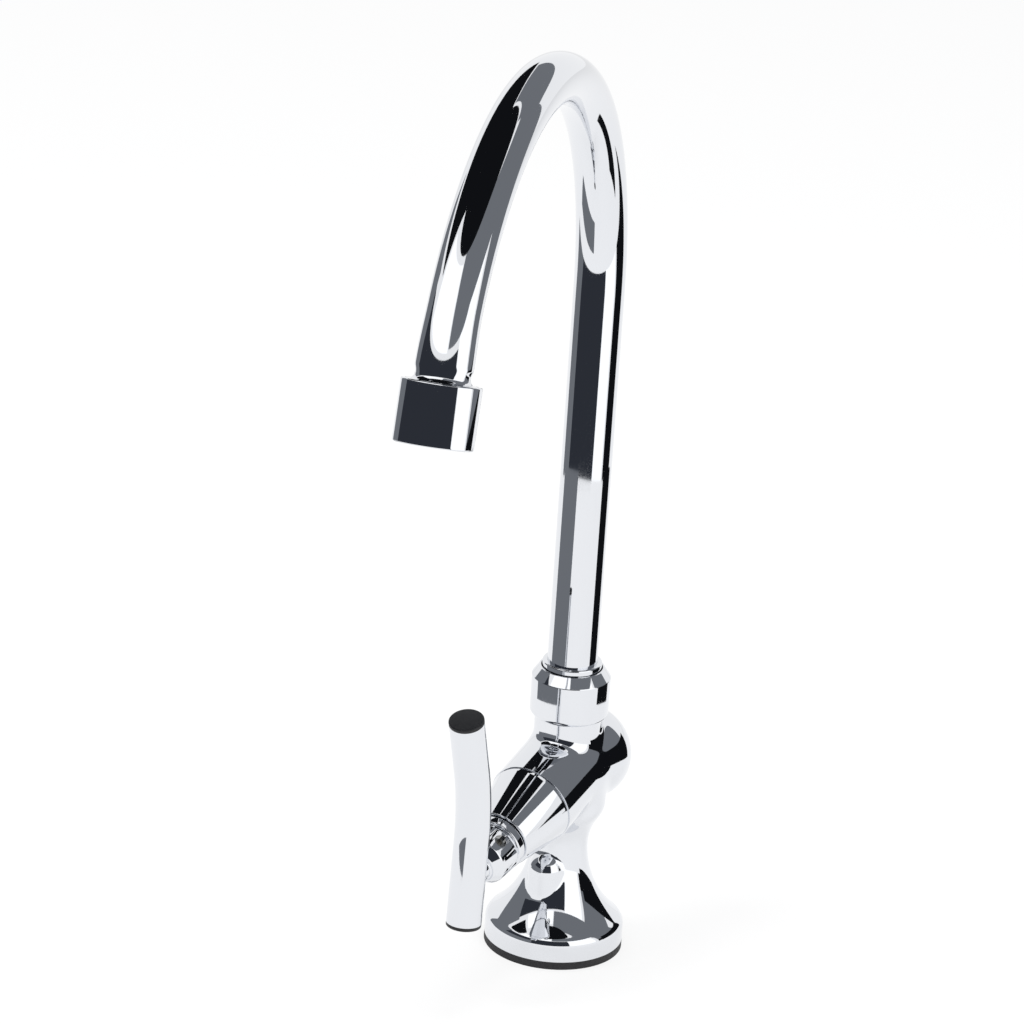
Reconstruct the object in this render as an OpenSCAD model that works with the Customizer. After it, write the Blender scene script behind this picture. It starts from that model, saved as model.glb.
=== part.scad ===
// Gooseneck bar faucet: one cold inlet, a swivel spout and a quarter-turn lever valve.
// Z is up. The origin is the centre of the inlet's mouth, in the plane the faucet stands on.
// The valve barrel points to -Y and slopes down; the spout is shown swung towards +X.

/* [Base] */
// Radius of the round foot
foot_r = 22.3; // [20:0.1:26]
// Thickness of the rubber ring under the foot
gasket_t = 2.6; // [1.5:0.1:4]
// Radius of the centring boss that the rubber ring fits round
inlet_boss_r = 12; // [11.5:0.1:14]
// Minor radius of the threaded water inlet
inlet_r = 9.5; // [8:0.1:10]
// Depth of the threaded water inlet
inlet_depth = 15; // [10:0.5:16]
// Radius of the waist between the foot and the valve barrel
waist_r = 9.1; // [8.6:0.1:10.5]
// Height of the waist above the deck
waist_z = 35.5; // [33:0.5:38]
// Radius of the concave sweep from the waist down to the foot
trumpet_r = 32.5; // [30:0.5:36]
// Radius of the concave sweep from the waist up to the valve barrel
throat_r = 18; // [14:0.5:24]

/* [Front boss] */
// Radius of the domed boss cast on the front of the waist
boss_r = 6; // [4:0.1:7]
// Distance of the boss from the centre line
boss_reach = 7.4; // [5:0.1:9]
// Height of the flat foot of the boss
boss_foot_z = 19.8; // [18:0.1:24]
// Height at which the dome of the boss begins
boss_dome_z = 28; // [26:0.1:32]

/* [Valve barrel] */
// Height where the barrel's axis crosses the centre line
barrel_z = 62; // [60:0.5:66]
// Slope of the barrel below the horizontal, in degrees
barrel_tilt = 16; // [10:0.5:18]
// Outer radius of the barrel
barrel_r = 14.2; // [13.8:0.1:16]
// Length of the barrel in front of the centre line
barrel_front = 22; // [20:0.5:26]
// Length of the barrel behind the centre line, to the centre of its round end
barrel_back = 10; // [8:0.5:12]
// Radius of the ball at the back of the body
ball_r = 15; // [14:0.1:16]
// Distance of the ball's centre behind the centre line
ball_back = 13; // [11:0.5:14]
// Height of the ball's centre
ball_z = 61.5; // [60:0.5:63]
// Radius of the threaded spigot in front of the barrel
spigot_r = 11.3; // [11.2:0.05:11.5]
// Length of the threaded spigot
spigot_l = 4; // [3:0.5:5]

/* [Bonnet] */
// Radius of the cone-shaped bonnet where it meets the barrel
bonnet_r = 13.95; // [13.2:0.05:14.2]
// Radius of the bonnet's small end
bonnet_end_r = 9.9; // [9.4:0.1:11]
// Length of the bonnet
bonnet_l = 19.5; // [19:0.5:24]
// Thickness of the bonnet's end wall
bonnet_end_t = 2.9; // [2:0.1:4]

/* [Cartridge] */
// Radius of the cartridge's bore in the barrel
cartridge_bore_r = 10; // [9.8:0.05:10.2]
// Radius of the cartridge's nose, round the two discs
nose_r = 7.9; // [7.7:0.05:8.2]
// Wall of the cartridge's nose
nose_wall = 1.1; // [0.9:0.05:1.3]
// Thickness of each ceramic disc
disc_t = 2.5; // [2:0.1:3]
// Radius of the two water ports in each disc
port_r = 1.9; // [1.2:0.1:2]
// Distance of the ports from the axis
port_offset = 3.4; // [2.6:0.1:3.6]
// Thickness of the rubber seal between the discs and the seat
seal_t = 2.2; // [1.5:0.1:3]
// Radius of the valve stem
stem_r = 4; // [3.6:0.1:4.4]
// Thickness of the plastic thrust washer under the housing's shoulder
thrust_t = 0.6; // [0.4:0.1:1]
// Thickness of the spring clip that keeps the stem in
clip_t = 0.8; // [0.6:0.1:1.2]

/* [Handle] */
// Radius of the fluted hub
hub_r = 9.3; // [8.6:0.1:10]
// Length of the hub's fluted part, with its rear collar
hub_l = 11.6; // [10:0.1:13]
// Number of flutes round the hub
flute_count = 12; // [6:1:16]
// Radius of the lever tube
lever_r = 5.6; // [5:0.1:6.5]
// Wall of the lever tube
lever_wall = 1.1; // [0.8:0.1:1.6]
// Distance along the barrel's axis to the middle of the lever tube
lever_station = 61.6; // [60:0.1:64]
// Angle of the lever's lower part away from square to the barrel, in degrees
lever_kick = 19.5; // [10:0.5:25]
// Length of the lever below the barrel's axis
lever_below = 15.5; // [12:0.5:20]
// Length of the lever's lower straight above the barrel's axis
lever_straight = 11.5; // [9:0.5:20]
// Radius of the lever's bend
lever_bend_r = 75; // [50:1:100]
// Length of the lever's upper straight
lever_upper = 19; // [10:1:40]
// Thickness of the heads of the black plugs
plug_t = 1.3; // [0.8:0.1:2.5]
// Radius of the hub's grub screw
grub_r = 2; // [1.5:0.1:2.5]
// Angle of the grub screw round the hub, in degrees
grub_turn = 52; // [0:1:90]

/* [Spout] */
// Outer radius of the spout tube
tube_r = 8; // [7.5:0.1:8.2]
// Wall of the spout tube
tube_wall = 1; // [0.7:0.1:1.5]
// Height where the spout's bend begins
bend_z = 224; // [150:1:300]
// Radius of the spout's bend
bend_r = 90; // [50:1:120]
// Angle through which the spout bends
bend_angle = 161.5; // [120:0.5:180]
// Angle the spout is shown swung from the front, in degrees
spout_swing = 14; // [-90:1:90]

/* [Spout nut] */
// Outer radius of the nut
nut_r = 12.6; // [12.4:0.05:13.5]
// Distance from the socket's rim down to the nut's lower edge
nut_drop = 6; // [5:0.1:6.5]
// Height of the nut, without its shoulder
nut_h = 13.5; // [13:0.5:16]
// Height of the nut's cone-shaped shoulder
shoulder_h = 3.2; // [1:0.1:4]
// Radius of the spout's collar, which stands out of the nut
collar_r = 9.5; // [9.3:0.05:9.8]
// Height of the collar above the nut
collar_h = 2; // [1:0.1:8]
// Outer radius of the socket's thread
socket_r = 10.8; // [10.6:0.05:11]
// Height of the socket's rim
socket_z = 86; // [85.5:0.1:86.5]
// Radius of the socket's bore
socket_bore_r = 8.95; // [8.8:0.05:9.05]
// Depth of the socket's bore
socket_depth = 14.6; // [12:0.1:14.8]

/* [Aerator] */
// Outer radius of the aerator's housing
aerator_r = 11.7; // [11.2:0.1:13]
// Length of the aerator's housing
aerator_l = 18.2; // [17:0.1:24]
// Wall of the aerator's housing
aerator_wall = 1.35; // [1:0.05:1.6]
// Length of tube inside the aerator
tube_stub = 6; // [4:0.5:7]
// Radius of the hollow sweep from the tube to the top of the aerator
neck_sweep_r = 1.6; // [0.8:0.1:2.2]
// Distance between the cells of the outlet grid
cell_pitch = 2.7; // [2.4:0.1:4]

/* [Fits] */
// Radial clearance of the swivelling and turning fits
running_gap = 0.05; // [0.02:0.01:0.09]
// Gap between parts that move past each other without touching
free_gap = 0.35; // [0.3:0.05:0.5]
// Gap between threaded or pushed-together parts that don't move
seat_gap = 0.1; // [0.05:0.01:0.15]

/* [Hidden] */
$fn = 96;
hair = 0.01;

// Inside the body: the ways for the water
throat_inset = 0.4;
water_r = 5;
port_rise = 3.4;
way_step = 1.5;
way_past = 0.5;
seat_r = 4.2;
spout_way_r = 5.4;
spout_way_y = 3.4;

// Stations along the barrel's axis, measured from the centre line, outwards
seal_squeeze = 0.2;
seat_t = seal_squeeze - seal_t;
disc_1 = seat_t + seal_t;
disc_2 = disc_1 + disc_t + running_gap;
stem_foot = disc_2 + disc_t;
stem_foot_t = 2.8;
thrust_at = stem_foot + stem_foot_t;
shoulder_at = thrust_at + thrust_t + running_gap;
spigot_end = barrel_front + spigot_l;
flange_t = 1.6;
flange_end = spigot_end + flange_t;
gland_l = 6.4;
gland_end = flange_end + gland_l;
clip_at = gland_end + free_gap;
bonnet_end = barrel_front + bonnet_l;
hub_at = bonnet_end + free_gap;
stem_in_hub = 10;
stem_end = hub_at + stem_in_hub;
nose_end = 9;
wide_bore_at = 0.6;
ring_groove_at = 12;
stem_ring_at = 15;

// Radii of the cartridge
nose_bore_r = nose_r - nose_wall;
housing_r = cartridge_bore_r - seat_gap;
stem_bore_r = stem_r + running_gap;
flange_inset = 0.3;
flange_r = spigot_r - flange_inset;
gland_r = 6.6;
bonnet_skirt_r = spigot_r + seat_gap;
bonnet_cavity_r = 8.8;
clip_groove = 0.7;
stem_neck_r = stem_r - clip_groove;
clip_rim = 1.6;
clip_mouth = 2.4;
window_r = 1.6;
seal_inset = 0.6;
notch_l = 6;
notch_w = 1.6 * port_r;

// O-rings and their grooves
groove_w = 2;
housing_ring_r = 0.75;
stem_ring_r = 0.56;
stem_groove_w = 1.3;
stem_groove = 1.15;
ring_wire_r = 0.85;
ring_pitch = 4;
first_ring = 2.6;

// Hub: lengths from its rear face, and how far each part is set in from hub_r
hub_collar_l = 3;
hub_neck_l = 1.2;
hub_neck_in = 1;
hub_body_in = 0.2;
hub_end_in = 1;
hub_dome_in = 3.2;
hub_dome_l = 2.6;
hub_reach_in = 0.6;
flute_r = 1.5;
flute_out = 0.7;
grub_from_end = 2.6;
grub_sunk = 1.6;
grub_key_in = 0.9;

// Heights of the spout's foot
plug_z = socket_z - socket_depth + free_gap;
spout_flange_z = socket_z + running_gap;
spout_flange_t = 2.2;
swivel_washer_t = 0.7;
nut_lip_z = spout_flange_z + spout_flange_t + running_gap + swivel_washer_t;
nut_z = socket_z - nut_drop;
nut_top_z = nut_z + nut_h + shoulder_h;
collar_z = nut_top_z + collar_h;
tube_in_collar = 4;
tube_foot_z = spout_flange_z - tube_in_collar;
plug_r = socket_bore_r - running_gap;
plug_bore_r = 6.2;
nut_bore_r = socket_r + 2 * seat_gap;
nut_rim = 0.4;
nut_hole_r = collar_r + free_gap;
spout_flange_r = nut_bore_r - free_gap;

// Outlet: distances below the top of the aerator's housing
ferrule_past = 5;
ferrule_end = tube_stub + ferrule_past;
outlet_washer_t = 1.5;
washer_end = ferrule_end + outlet_washer_t;
screen_t = 0.3;
screen_gap = 0.3;
screens_end = washer_end + 2 * screen_t + screen_gap;
screen_pitch = 2.4;
screen_hole = 1.8;
grid_rim = 1;
lip_t = 1;
insert_end = aerator_l - lip_t;
aerator_bore_r = aerator_r - aerator_wall;
insert_r = aerator_bore_r - seat_gap;

// Along the valve barrel: local Z points out of the barrel, local Y is up
module on_barrel() {
    translate([0, 0, barrel_z]) rotate([90 + barrel_tilt, 0, 0]) children();
}

// Along the lever's lower straight: local Z points up the lever
module on_lever() {
    on_barrel() translate([0, 0, lever_station]) rotate([-90 - lever_kick, 0, 0]) children();
}

// At the lever's top end: local Z points out of the tube
module at_lever_top() {
    on_lever() translate([0, -lever_bend_r, lever_straight]) rotate([lever_kick, 0, 0])
        translate([0, lever_bend_r, lever_upper]) children();
}

// In the spout's own plane
module on_spout() {
    rotate([0, 0, spout_swing]) children();
}

// At the end of the spout's bend: local Z points the way the water leaves
module at_outlet() {
    on_spout() translate([0, -bend_r, bend_z]) rotate([bend_angle, 0, 0])
        translate([0, bend_r, 0]) children();
}

// A round bar that starts straight along Z and bends towards -Y
module bend(bar_r, turn_r, turn_angle) {
    translate([0, -turn_r, 0]) rotate([90, 0, 90]) rotate_extrude(angle = turn_angle)
        translate([turn_r, 0]) circle(r = bar_r);
}

module ring(outer_r, inner_r, height) {
    difference() {
        cylinder(r = outer_r, h = height);
        translate([0, 0, -1]) cylinder(r = inner_r, h = height + 2);
    }
}

module o_ring(centre_r, wire_r) {
    rotate_extrude() translate([centre_r, 0]) circle(r = wire_r, $fn = 32);
}

// Foot, trumpet, waist and throat, turned about the centre line
module body_turned() {
    rotate_extrude() difference() {
        translate([0, gasket_t]) square([foot_r, barrel_z - gasket_t]);
        difference() {
            translate([waist_r, gasket_t + 1]) square([foot_r, waist_z - gasket_t - 1]);
            trumpet_outside();
        }
        difference() {
            translate([waist_r, waist_z]) square([foot_r, barrel_z - waist_z + 1]);
            throat_inside(barrel_r - throat_inset);
        }
    }
}

// The part of the foot's section that the trumpet's sweep leaves standing
module trumpet_outside() {
    difference() {
        square([foot_r + 1, waist_z]);
        translate([waist_r + trumpet_r, waist_z]) circle(r = trumpet_r);
    }
}

// The section between the waist and the barrel
module throat_inside(top_r) {
    difference() {
        translate([0, waist_z - 1]) square([top_r, barrel_z - waist_z + 1]);
        translate([waist_r + throat_r, waist_z]) circle(r = throat_r);
    }
}

// The barrel with its round back end, and the spigot for the bonnet
module barrel_turned() {
    rotate_extrude() {
        translate([0, -barrel_back]) square([barrel_r, barrel_back + barrel_front]);
        intersection() {
            translate([0, -barrel_back]) circle(r = barrel_r);
            translate([0, -barrel_back - barrel_r]) square([barrel_r, barrel_r + 1]);
        }
        translate([0, barrel_front - 1]) square([spigot_r, spigot_l + 1]);
    }
}

module front_boss() {
    translate([0, -boss_reach, boss_foot_z]) cylinder(r = boss_r, h = boss_dome_z - boss_foot_z);
    translate([0, -boss_reach, boss_dome_z]) sphere(r = boss_r);
}

// Water's way from the inlet, behind the cartridge's seat, and up to the spout
module water_ways() {
    translate([0, 0, -1]) cylinder(r = inlet_r, h = inlet_depth + 1);
    cylinder(r = water_r, h = waist_z);
    rise_foot = [0, way_step, waist_z - way_step];
    rise_top = [0, ball_back + way_past, barrel_z];
    rise = rise_top - rise_foot;
    translate(rise_foot) rotate([-atan2(rise[1], rise[2]), 0, 0]) cylinder(r = port_rise, h = norm(rise));
    on_barrel() {
        translate([0, 0, -ball_back - way_past]) cylinder(r = seat_r, h = ball_back + 1);
        translate([0, 0, seat_t]) cylinder(r = nose_r + seat_gap, h = wide_bore_at - seat_t + 1);
        translate([0, 0, wide_bore_at]) cylinder(r = cartridge_bore_r, h = spigot_end);
    }
    translate([0, -spout_way_y, barrel_z])
        cylinder(r = spout_way_r, h = socket_z - socket_depth - barrel_z + 1);
    translate([0, 0, socket_z - socket_depth]) cylinder(r = socket_bore_r, h = socket_depth + 1);
}

module faucet_body() {
    color("silver") difference() {
        union() {
            body_turned();
            cylinder(r = inlet_boss_r, h = gasket_t + 1);
            front_boss();
            on_barrel() barrel_turned();
            translate([0, ball_back, ball_z]) sphere(r = ball_r);
            translate([0, 0, barrel_z]) cylinder(r = socket_r, h = socket_z - barrel_z);
        }
        water_ways();
    }
}

module base_gasket() {
    color("#1c1c1e") ring(foot_r, inlet_boss_r + seat_gap, gasket_t);
}

module seat_seal() {
    color("#2a2a2a") on_barrel() translate([0, 0, seat_t])
        ring(nose_r - seal_inset, seat_r + seat_gap, seal_t);
}

// Two round ports on opposite sides of the axis
module ports(depth) {
    for (side = [-1, 1]) translate([side * port_offset, 0, -1]) cylinder(r = port_r, h = depth + 2);
}

module fixed_disc() {
    color("white") on_barrel() translate([0, 0, disc_1]) difference() {
        cylinder(r = nose_bore_r - seat_gap, h = disc_t);
        ports(disc_t);
    }
}

module cartridge_housing() {
    color("goldenrod") on_barrel() difference() {
        union() {
            translate([0, 0, disc_1]) cylinder(r = nose_r, h = nose_end - disc_1 + 1);
            translate([0, 0, nose_end]) cylinder(r = housing_r, h = spigot_end - nose_end);
            translate([0, 0, spigot_end]) cylinder(r = flange_r, h = flange_t);
            translate([0, 0, flange_end]) cylinder(r = gland_r, h = gland_end - flange_end);
        }
        translate([0, 0, disc_1 - 1]) cylinder(r = nose_bore_r, h = shoulder_at - disc_1 + 1);
        cylinder(r = stem_bore_r, h = gland_end + 1);
        translate([0, 0, ring_groove_at - groove_w / 2])
            ring(housing_r + 1, housing_r - 2 * housing_ring_r, groove_w);
        translate([0, 0, disc_2 + 1]) for (turn = [45, 135])
            rotate([90, 0, turn]) cylinder(r = window_r, h = 4 * nose_r, center = true);
    }
}

module housing_o_ring() {
    color("#2a2a2a") on_barrel() translate([0, 0, ring_groove_at])
        o_ring(housing_r - housing_ring_r, housing_ring_r - hair);
}

module bonnet() {
    color("silver") on_barrel() difference() {
        translate([0, 0, barrel_front]) cylinder(r1 = bonnet_r, r2 = bonnet_end_r, h = bonnet_l);
        translate([0, 0, barrel_front - 1]) cylinder(r = bonnet_skirt_r, h = flange_end - barrel_front + 1);
        cylinder(r = bonnet_cavity_r, h = bonnet_end - bonnet_end_t);
        cylinder(r = stem_r + free_gap, h = bonnet_end + 1);
    }
}

module moving_disc() {
    color("white") on_barrel() translate([0, 0, disc_2]) rotate([0, 0, 90]) difference() {
        cylinder(r = nose_bore_r - free_gap, h = disc_t);
        ports(disc_t);
        for (side = [-1, 1]) translate([side * (port_offset + notch_l / 2), 0, 0])
            cube([notch_l, notch_w, 3 * disc_t], center = true);
    }
}

module valve_stem() {
    color("goldenrod") on_barrel() difference() {
        union() {
            translate([0, 0, stem_foot]) cylinder(r = nose_bore_r - free_gap, h = stem_foot_t);
            translate([0, 0, stem_foot]) cylinder(r = stem_r, h = stem_end - stem_foot);
        }
        translate([0, 0, stem_ring_at - stem_groove_w / 2])
            ring(stem_r + 1, stem_r - stem_groove, stem_groove_w);
        translate([0, 0, clip_at]) ring(stem_r + 1, stem_neck_r, clip_t);
    }
}

module thrust_washer() {
    color("white") on_barrel() translate([0, 0, thrust_at])
        ring(nose_bore_r - free_gap, stem_r + seat_gap, thrust_t);
}

module stem_o_ring() {
    color("#2a2a2a") on_barrel() translate([0, 0, stem_ring_at]) o_ring(stem_r - stem_ring_r, stem_ring_r);
}

module stem_clip() {
    color("gray") on_barrel() translate([0, 0, clip_at]) difference() {
        ring(stem_r + clip_rim, stem_neck_r + hair, clip_t);
        translate([0, -stem_r - 1, 0]) cube([clip_mouth, 2 * stem_r, 4 * clip_t], center = true);
    }
}

module hub_turned() {
    body_at = hub_collar_l + hub_neck_l;
    cylinder(r = hub_r, h = hub_collar_l);
    translate([0, 0, hub_collar_l]) cylinder(r = hub_r - hub_neck_in, h = hub_neck_l);
    translate([0, 0, body_at])
        cylinder(r1 = hub_r - hub_body_in, r2 = hub_r - hub_end_in, h = hub_l - body_at);
    translate([0, 0, hub_l])
        cylinder(r1 = hub_r - hub_end_in, r2 = hub_r - hub_dome_in, h = hub_dome_l);
    translate([0, 0, hub_l])
        cylinder(r = lever_r - hub_reach_in, h = lever_station - hub_at - hub_l);
}

module at_grub_screw() {
    on_barrel() translate([0, 0, stem_end - grub_from_end])
        rotate([0, 0, grub_turn]) rotate([0, 90, 0]) children();
}

module handle_hub() {
    color("silver") difference() {
        on_barrel() translate([0, 0, hub_at]) hub_turned();
        on_barrel() cylinder(r = stem_r + seat_gap / 2, h = stem_end + seat_gap);
        on_barrel() for (i = [0 : flute_count - 1]) rotate([0, 0, (i + 0.5) * 360 / flute_count])
            translate([hub_r + flute_out, 0, hub_at + hub_collar_l + hub_neck_l])
                cylinder(r = flute_r, h = hub_l, $fn = 32);
        at_grub_screw() cylinder(r = grub_r + seat_gap / 2, h = 2 * hub_r, $fn = 32);
        on_lever() translate([0, 0, -lever_below]) cylinder(r = lever_r, h = 3 * lever_below);
    }
}

module hub_grub_screw() {
    grub_l = hub_r - stem_r - grub_sunk;
    color("#303030") at_grub_screw() translate([0, 0, stem_r]) difference() {
        cylinder(r = grub_r, h = grub_l, $fn = 32);
        translate([0, 0, grub_l / 2]) cylinder(r = grub_r - grub_key_in, h = grub_l, $fn = 6);
    }
}

// The lever's whole path as a solid bar; overrun lengthens both ends.
// The straights reach a hair into the bend, which is a hair slimmer, so they join cleanly.
module lever_bar(bar_r, overrun) {
    on_lever() translate([0, 0, -lever_below - overrun])
        cylinder(r = bar_r, h = lever_below + lever_straight + overrun + hair);
    on_lever() translate([0, 0, lever_straight]) bend(bar_r - hair, lever_bend_r, lever_kick);
    at_lever_top() translate([0, 0, -lever_upper - hair])
        cylinder(r = bar_r, h = lever_upper + overrun + hair);
}

module handle_lever() {
    color("silver") difference() {
        lever_bar(lever_r, 0);
        lever_bar(lever_r - lever_wall, 1);
    }
}

module lever_plug() {
    shank_l = 5;
    cylinder(r = lever_r, h = plug_t);
    translate([0, 0, -shank_l]) cylinder(r = lever_r - lever_wall - seat_gap, h = shank_l);
}

module lever_top_plug() {
    color("#1c1c1e") at_lever_top() lever_plug();
}

module lever_foot_plug() {
    color("#1c1c1e") on_lever() translate([0, 0, -lever_below]) rotate([180, 0, 0]) lever_plug();
}

// The spout's whole path as a solid bar; overrun lengthens both ends
module spout_bar(bar_r, overrun) {
    on_spout() translate([0, 0, tube_foot_z - overrun])
        cylinder(r = bar_r, h = bend_z - tube_foot_z + overrun + hair);
    on_spout() translate([0, 0, bend_z]) bend(bar_r - hair, bend_r, bend_angle);
    at_outlet() translate([0, 0, -hair]) cylinder(r = bar_r, h = tube_stub + overrun + hair);
}

module spout_tube() {
    color("silver") difference() {
        spout_bar(tube_r, 0);
        spout_bar(tube_r - tube_wall, 1);
    }
}

module spout_ring_levels() {
    for (i = [0, 1]) translate([0, 0, plug_z + first_ring + i * ring_pitch]) children();
}

module spout_collar() {
    edge = 0.6;
    color("silver") difference() {
        union() {
            translate([0, 0, plug_z]) cylinder(r = plug_r, h = spout_flange_z - plug_z);
            translate([0, 0, spout_flange_z]) cylinder(r = spout_flange_r, h = spout_flange_t);
            translate([0, 0, spout_flange_z]) cylinder(r = collar_r, h = collar_z - spout_flange_z - edge);
            translate([0, 0, collar_z - edge]) cylinder(r1 = collar_r, r2 = collar_r - edge, h = edge);
        }
        translate([0, 0, tube_foot_z]) cylinder(r = tube_r, h = collar_z);
        translate([0, 0, plug_z - 1]) cylinder(r = plug_bore_r, h = collar_z);
        spout_ring_levels() translate([0, 0, -groove_w / 2])
            ring(plug_r + 1, plug_r - 2 * ring_wire_r, groove_w);
    }
}

module spout_o_rings() {
    color("#2a2a2a") spout_ring_levels() o_ring(plug_r - ring_wire_r, ring_wire_r);
}

module spout_nut() {
    foot_turn = 2;
    top = nut_h + shoulder_h;
    color("silver") translate([0, 0, nut_z]) difference() {
        rotate_extrude() difference() {
            union() {
                translate([0, foot_turn]) square([nut_r, nut_h - foot_turn]);
                square([nut_r - foot_turn, nut_h]);
                translate([nut_r - foot_turn, foot_turn]) circle(r = foot_turn);
                polygon([[0, nut_h], [nut_r, nut_h], [nut_hole_r + nut_rim, top], [0, top]]);
            }
            translate([-foot_turn, -1]) square([foot_turn, top + 2]);
        }
        translate([0, 0, -1]) cylinder(r = nut_bore_r, h = nut_lip_z - nut_z + 1);
        cylinder(r = nut_hole_r, h = top + 1);
    }
}

module swivel_washer() {
    color("white") translate([0, 0, nut_lip_z - swivel_washer_t])
        ring(nut_bore_r - seat_gap, nut_hole_r, swivel_washer_t);
}

// The threaded ferrule on the tube's end, with a hollow sweep above the aerator
module outlet_ferrule() {
    color("silver") at_outlet() difference() {
        union() {
            cylinder(r = insert_r, h = ferrule_end);
            translate([0, 0, -neck_sweep_r]) rotate_extrude() difference() {
                square([tube_r + neck_sweep_r, neck_sweep_r + hair]);
                translate([tube_r + neck_sweep_r, 0]) circle(r = neck_sweep_r - hair);
            }
        }
        translate([0, 0, -neck_sweep_r - 1]) cylinder(r = tube_r + seat_gap, h = neck_sweep_r + 1);
        translate([0, 0, -hair]) cylinder(r = tube_r, h = tube_stub + hair);
        cylinder(r = tube_r - tube_wall, h = ferrule_end + 1);
    }
}

module aerator_housing() {
    edge = 0.5;
    color("silver") at_outlet() difference() {
        union() {
            cylinder(r1 = aerator_r - edge, r2 = aerator_r, h = edge);
            translate([0, 0, edge]) cylinder(r = aerator_r, h = aerator_l - 2 * edge);
            translate([0, 0, aerator_l - edge]) cylinder(r1 = aerator_r, r2 = aerator_r - edge, h = edge);
        }
        translate([0, 0, -1]) cylinder(r = aerator_bore_r, h = insert_end + 1);
        cylinder(r = aerator_bore_r - lip_t, h = aerator_l + 1);
    }
}

module aerator_washer() {
    color("#2a2a2a") at_outlet() translate([0, 0, ferrule_end])
        ring(insert_r, tube_r - tube_wall, washer_end - ferrule_end);
}

// A square grid of holes inside a circle
module mesh_holes(pitch, hole, limit_r, depth) {
    steps = floor(limit_r / pitch);
    for (i = [-steps : steps], j = [-steps : steps])
        if (norm([i, j]) * pitch + hole * 0.71 < limit_r)
            translate([i * pitch, j * pitch, 0]) cube([hole, hole, depth], center = true);
}

module aerator_screens() {
    color("gray") at_outlet() for (i = [0, 1]) translate([0, 0, washer_end + i * (screen_t + screen_gap)])
        difference() {
            cylinder(r = insert_r, h = screen_t);
            mesh_holes(screen_pitch, screen_hole, insert_r - grid_rim, 4 * screen_t);
        }
}

// Honeycomb of hexagonal cells inside a circle
module cells(pitch, limit_r, depth) {
    steps = ceil(limit_r / pitch);
    row = pitch * sin(60);
    cell_r = pitch * 0.45;
    for (j = [-steps : steps], i = [-steps : steps]) {
        x = (i + (j % 2 == 0 ? 0 : 0.5)) * pitch;
        if (norm([x, j * row]) + cell_r < limit_r)
            translate([x, j * row, -1]) rotate([0, 0, 30]) cylinder(r = cell_r, h = depth + 2, $fn = 6);
    }
}

module aerator_insert() {
    insert_l = insert_end - screens_end;
    color("#e8e8e6") at_outlet() translate([0, 0, screens_end]) difference() {
        cylinder(r = insert_r, h = insert_l);
        cells(cell_pitch, insert_r - grid_rim, insert_l);
    }
}

faucet_body();
base_gasket();
seat_seal();
fixed_disc();
cartridge_housing();
housing_o_ring();
bonnet();
spout_nut();
swivel_washer();
moving_disc();
valve_stem();
thrust_washer();
stem_o_ring();
stem_clip();
handle_hub();
hub_grub_screw();
handle_lever();
lever_top_plug();
lever_foot_plug();
spout_tube();
spout_collar();
spout_o_rings();
outlet_ferrule();
aerator_housing();
aerator_washer();
aerator_screens();
aerator_insert();
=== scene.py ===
"""Gooseneck bar faucet: visible pieces and finishes round the fixed frame, with studio and camera."""

import math
from types import SimpleNamespace

import bmesh
import bpy
import numpy as np
from bpy.props import FloatProperty, FloatVectorProperty, IntProperty, PointerProperty
from mathutils import Matrix, Vector


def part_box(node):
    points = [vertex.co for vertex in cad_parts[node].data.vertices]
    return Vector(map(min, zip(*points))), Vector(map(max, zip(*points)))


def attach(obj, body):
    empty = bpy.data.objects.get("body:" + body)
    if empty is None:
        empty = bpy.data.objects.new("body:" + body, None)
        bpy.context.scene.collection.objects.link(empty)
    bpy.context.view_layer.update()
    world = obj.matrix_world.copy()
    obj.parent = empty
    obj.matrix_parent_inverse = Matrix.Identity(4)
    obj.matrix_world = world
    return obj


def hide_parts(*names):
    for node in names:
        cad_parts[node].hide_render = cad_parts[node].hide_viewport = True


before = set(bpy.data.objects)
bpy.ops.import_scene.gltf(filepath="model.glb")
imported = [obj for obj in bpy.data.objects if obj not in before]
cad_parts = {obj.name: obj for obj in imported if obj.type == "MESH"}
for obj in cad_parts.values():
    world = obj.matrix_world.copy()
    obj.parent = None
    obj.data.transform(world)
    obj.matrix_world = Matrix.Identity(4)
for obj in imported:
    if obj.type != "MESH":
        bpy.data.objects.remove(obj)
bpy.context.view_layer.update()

bl_info = {
    "name": "Gooseneck bar faucet",
    "version": (1, 0, 0),
    "blender": (4, 5, 0),
    "location": "View3D > Sidebar > Faucet",
    "description": "Builds the faucet's visible pieces, their finishes, the studio and the camera",
    "category": "Object",
}

MM = 0.001
# Millimetres
SPARE = 0.01  # between a piece's skin and the solid next to it
SEAT_GAP = 0.1  # round what is pressed or screwed in
WELD = 0.002  # a new shape's vertices within this distance are merged
SLIT = 0.001  # the same for what a cut leaves double


# ---------------------------------------------------------------- the frame's own sizes
def edge_of(node, axis, end):
    """One coordinate of a node's box, in millimetres: end 0 is its lowest, 1 its highest."""
    return round(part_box(node)[end][axis] / MM, 2)


FOOT_R = edge_of("base_gasket", 0, 1)
GASKET_T = edge_of("base_gasket", 2, 1)
NUT_R = edge_of("spout_nut", 0, 1)
NUT_Z = edge_of("spout_nut", 2, 0)
NUT_TOP_Z = edge_of("spout_nut", 2, 1)
COLLAR_FOOT_Z = edge_of("spout_collar", 2, 0)
COLLAR_TOP_Z = edge_of("spout_collar", 2, 1)


# ---------------------------------------------------------------- settings
def srgb(hex_colour):
    """Turns an sRGB hex colour to linear RGBA."""
    out = []
    for i in (1, 3, 5):
        c = int(hex_colour[i:i + 2], 16) / 255
        out.append(c / 12.92 if c <= 0.04045 else ((c + 0.055) / 1.055) ** 2.4)
    return (*out, 1.0)


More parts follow.
